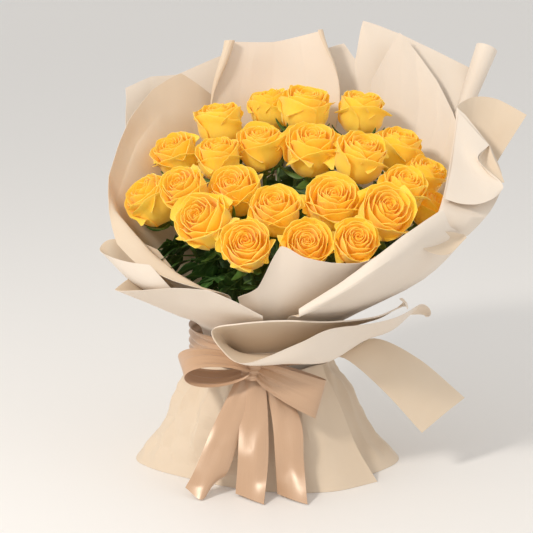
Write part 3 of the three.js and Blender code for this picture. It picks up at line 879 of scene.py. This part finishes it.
def paper(name, rows, crinkle, stiff=0.0, left=None, right=None, out=1):
    """A sheet of paper through its rows of points, with the curls on its edges.

    The side that faces away from the flowers is the grid's front when out is 1, its back when it is -1.
    """
    rows = vectors(rows)
    panels = len(rows[0]) - 1
    across = panels * max(4, round(PAPER_COLUMNS / panels))
    before, after = (CURL_STEPS if left else 0), (CURL_STEPS if right else 0)
    columns = across + before + after
    obj = grid(name, columns, PAPER_ROWS)
    tiny = 0.004

    def place(s, t):
        i, v = round((s + 1) / 2 * columns) - before, round(t * PAPER_ROWS) / PAPER_ROWS
        u = min(max(i / across, 0), 1)
        here = through(rows, u, v, stiff)
        side = left if i < 0 else right if i > across else None
        if side:
            du = (through(rows, min(u + tiny, 1), v) - through(rows, max(u - tiny, 0), v)).normalized()
            dv = (through(rows, u, min(v + tiny, 1)) - through(rows, u, max(v - tiny, 0))).normalized()
            away = du.cross(dv).normalized() * out
            radius, degrees = along_list(side, v)
            beyond = (-i if i < 0 else i - across) / CURL_STEPS
            here = curled(here, -du if i < 0 else du, away, radius, degrees, beyond)
        return here

    bend(obj, place)
    for v in obj.data.vertices:
        soft = noise.noise(v.co * 0.021 + Vector((out, crinkle, 4.2)))
        fold = abs(noise.noise(v.co * 0.034)) ** 0.7 - 0.35
        weight = smooth(150, 240, v.co.z) * 0.8 + 0.2
        v.co += v.normal * crinkle * weight * (soft * 1.1 - fold * 0.9)
    if out < 0:
        only(obj)
        bpy.ops.object.mode_set(mode="EDIT")
        bpy.ops.mesh.select_all(action="SELECT")
        bpy.ops.mesh.flip_normals()
        bpy.ops.object.mode_set(mode="OBJECT")
    obj.data.transform(Matrix.Scale(MM, 4))
    obj.data.materials.append(WRAP)
    # the second material is painted shade for the inner side
    obj.data.materials.append(WRAP_PAINTED_SHADE)
    thicken(obj, PAPER_WALL, painted_shade_inside=True, sharp=26)
    return obj


def roll(low, high, low_radius, high_radius, start, sweep):
    """Rows of points of a roll along a line: degrees from its right-hand side, the near side at 90."""
    low, high = Vector(low), Vector(high)
    axis = (high - low).normalized()
    near = (Vector((0, -1, 0)) + axis * axis.y).normalized()
    side = axis.cross(near)
    rows = []
    for k in range(4):
        centre, radius = low.lerp(high, k / 3), low_radius + (high_radius - low_radius) * k / 3
        turns = [math.radians(start + sweep * n / 12) for n in range(13)]
        rows.append([centre + (side * math.cos(a) + near * math.sin(a)) * radius * (1 - 0.12 * n / 12)
                     for n, a in enumerate(turns)])
    return rows


def skirt():
    """The skirt under the ribbon: pleated where it is tied, crumpled a little, its hem on the table."""
    rows = vectors([[polar(turn, top + (hem - top) * share, z) for turn, hem, top in SKIRT]
                    for z, share in SKIRT_LEVELS])
    obj = grid("skirt", SKIRT_COLUMNS, SKIRT_ROWS)

    def place(s, t):
        here = through(rows, (s + 1) / 2, t)
        outward = Vector((here.x, here.y, 0)).normalized()
        pleat = math.sin((s + 1) * 58 + 2 * noise.noise(Vector((s * 4, 0, 1)))) * smooth(0.3, 0.95, t)
        fold = abs(noise.noise(Vector((s * 11, t * 1.6, 2.0)))) ** 0.8 - 0.3
        facet = noise.voronoi(here * 0.034 + Vector((5, 1, 3)))[0][0] - 0.5
        body = smooth(0.0, 0.12, t) * (1 - smooth(0.7, 0.95, t))
        body *= 1 - smooth(0.86, 0.98, abs(s))
        crumple = 5 + 8 * math.exp(-((s + 0.42) / 0.2) ** 2)   # most of it on the front left
        dent = (fold * 5 + facet * crumple) * body
        return here + outward * (pleat * 0.9 - 0.6 * smooth(0.6, 1, t) - dent)

    bend(obj, place)
    obj.data.transform(Matrix.Scale(MM, 4))
    obj.data.transform(Matrix.Translation((0, 0, 0.2 * MM)))
    obj.data.materials.append(WRAP)
    # the second material is painted shade for the inner side
    obj.data.materials.append(WRAP_PAINTED_SHADE)
    thicken(obj, PAPER_WALL, painted_shade_inside=True, sharp=14)
    return obj


def build_papers():
    for name, make in PAPERS.items():
        rows = make["rows"]
        if make["foot"]:
            turns, radius = make["foot"]
            rows = [ring(turns, radius, FOOT_Z), ring(turns, radius + COLLAR_SPREAD, COLLAR_Z), *rows]
        obj = paper(name.replace("_paper", "_sheet"), rows, make["crinkle"], make.get("stiff", 0.0),
                    make.get("left"), make.get("right"))
        settle(obj, "wrap", name)
    settle(paper("right_lobe", LOBE, 0.4), "wrap", "right_paper")
    settle(paper("left_scroll", SCROLL, 0.5), "wrap", "left_inner_paper")
    settle(paper("roll_mouth", MOUTH, 0.1, out=-1), "wrap", "front_roll_paper")
    settle(paper("lobe_curl", CURL, 0.1, out=-1), "wrap", "right_paper")
    rim_roll = roll((203, 102, 334), (233, 130, 407), 7.5, 12.5, -100, 310)
    settle(paper("rim_roll", rim_roll, 0.1, out=-1), "wrap", "back_right_paper")
    settle(skirt(), "wrap", "skirt_paper")


# ---------------------------------------------------------------- ribbon

# Each tail: rows of points across it, from the knot to its cut end on the table (mm)
TAILS = {
    "left_tail": [
        [[-24, -78, 114], [-18, -80, 115], [-12, -81, 114]],
        [[-47, -92, 69], [-35, -96, 68], [-22, -95, 66]],
        [[-67, -110, 26], [-51, -112, 25], [-35, -107, 24]],
        [[-76, -114, 9], [-60, -126, 1.5], [-50, -106, 10]],
    ],
    "middle_tail": [
        [[-17, -80, 114], [-8, -82, 115], [0, -82, 114]],
        [[-24, -95, 70], [-10, -99, 70], [3, -97, 71]],
        [[-26, -107, 32], [-12, -113, 32], [3, -111, 34]],
        [[-28, -114, 3], [-14, -126, 2], [-1, -138, 1.2]],
    ],
    "right_tail": [
        [[-2, -82, 115], [5, -81, 116], [11, -79, 115]],
        [[7, -95, 70], [20, -97, 70], [34, -94, 70]],
        [[10, -106, 32], [24, -110, 33], [37, -109, 35]],
        [[12, -115, 3], [26, -127, 2], [40, -138, 1.2]],
    ],
}


def satin(name, columns, rows, place):
    """A piece of ribbon: a flat grid moved to its place, in millimetres."""
    obj = grid(name, columns, rows)
    bend(obj, place)
    obj.data.transform(Matrix.Scale(MM, 4))
    obj.data.materials.append(SATIN)
    thicken(obj, SATIN_WALL)
    settle(obj, "satin", "ribbon")
    return obj


def bow_loop(name, knot, heading, up, length, height, width):
    """A loop of ribbon from the knot out and back, gathered to a third of its width at the knot."""
    heading, up = Vector(heading).normalized(), Vector(up)
    up = (up - heading * up.dot(heading)).normalized()
    across = heading.cross(up)

    def place(s, t):
        a = 2 * math.pi * t
        spread = math.sin(a / 2) ** 0.8
        off = height / 2 * math.sin(a) * (0.4 + 0.6 * spread)
        pleat = (1.9 * math.cos(s * 8 + 0.6) + 0.8 * math.cos(s * 17)) * (1 - spread ** 2)
        belly = 1.1 * math.sin(s * 2.6 + 5 * t) * spread
        out = length / 2 * (1 - math.cos(a)) * (1 + 0.05 * s * spread)
        return (Vector(knot) + heading * out + up * (off + pleat + belly)
                + across * s * (11 + (width - 11) * spread) / 2)

    return satin(name, 24, 60, place)


def band(s, t):
    """Once round the waist, in three soft pleats."""
    slack = 1.5 * math.sin(s * 9 + 1.5 * math.sin(t * 21)) + 0.5 * noise.noise(Vector((s, t * 18, 3)))
    return Vector(polar(-360 * t - 6, 75.4 + slack, 129.5 + 11.5 * s + 0.8 * math.sin(t * 12.6)))


def knot(s, t):
    """Once round the crossing of the loops, standing on its edge."""
    a = 2 * math.pi * t
    pleat = 1.1 * math.cos(s * 11)
    x, y = (13 + pleat) * math.cos(a), (7.5 + 0.6 * pleat) * math.sin(a)
    return Vector((x - 10, y - 86, 118 + s * 9))


def tail(rows):
    """How a tail hangs: through its points, with a slow ripple and a little crease."""
    rows = vectors(rows)
    first = rows[0][0].x   # sets its ripple apart from the others'

    def place(s, t):
        here = through(rows, (s + 1) / 2, t)
        crease = 0.9 * math.sin(s * 4 + 4 * t) + 1.1 * noise.noise(Vector((s, t * 4, first)))
        here.y += crease * (1 - t * 0.7)
        here.y += 2.4 * math.sin(t * 9.5 + first * 0.1) * math.sin(math.pi * min(t * 1.15, 1))
        return here
    return place


def build_ribbon():
    satin("waist_band", 16, 130, band)
    satin("bow_knot", 24, 32, knot)
    bow_loop("left_loop", (-14, -89, 119), (-1, -0.05, 0.06), (0, -0.4, 1), 66, 30, 34)
    bow_loop("right_loop", (-6, -92, 118), (0.9, 0.0, -0.42), (0, -1, 0.1), 66, 20, 38)
    for name, rows in TAILS.items():
        satin(name, 12, 44, tail(rows))


# ---------------------------------------------------------------- camera, floor, light

def camera():
    """From the front and a little above, looking at the middle of the bouquet."""
    rise, distance = math.radians(12.5), 1.55
    aim = Vector((1.5, 0, 200)) * MM
    bpy.ops.object.camera_add(location=aim + Vector((0, -math.cos(rise), math.sin(rise))) * distance,
                              rotation=(math.radians(90) - rise, 0, 0))
    obj = bpy.context.object
    obj.data.sensor_width = 36
    obj.data.lens = 104.7
    bpy.context.scene.camera = obj


def area_light(name, place, power, size, colour):
    """A square light that faces the middle of the bouquet."""
    bpy.ops.object.light_add(type="AREA", location=place)
    obj = bpy.context.object
    obj.name = name
    obj.data.energy, obj.data.size, obj.data.color = power, size, colour
    obj.rotation_euler = (Vector((0, 0, 0.2)) - Vector(place)).to_track_quat("-Z", "Y").to_euler()


def stage():
    """A pale floor under an even sky, a small warm light on the left and a weak one on the right."""
    bpy.ops.mesh.primitive_plane_add(size=36, location=(0, 0, 0))
    floor = bpy.context.object
    floor.name = "floor"
    floor.data.transform(Matrix.Translation((0, 8, 0)))
    pale = Shader("pale_floor", 0.55)
    pale.set("Base Color", (0.88, 0.865, 0.85))
    floor.data.materials.append(pale.material)
    world = bpy.data.worlds.new("soft_room")
    bpy.context.scene.world = world
    world.use_nodes = True
    sky = world.node_tree.nodes["Background"]
    sky.inputs["Color"].default_value = (0.95, 0.93, 0.90, 1)
    sky.inputs["Strength"].default_value = 0.78
    area_light("key", (-1.1, -1.3, 1.5), 24, 0.3, (1.0, 0.94, 0.86))
    area_light("fill", (1.7, -1.2, 0.9), 3, 1.2, (0.95, 0.97, 1.0))
    bpy.context.scene.view_settings.view_transform = "Standard"


# ---------------------------------------------------------------- the bouquet

camera()
build_papers()
build_ribbon()
build_roses()

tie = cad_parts["stem_tie"]
tie.data.materials.clear()
tie.data.materials.append(TWINE)

stage()
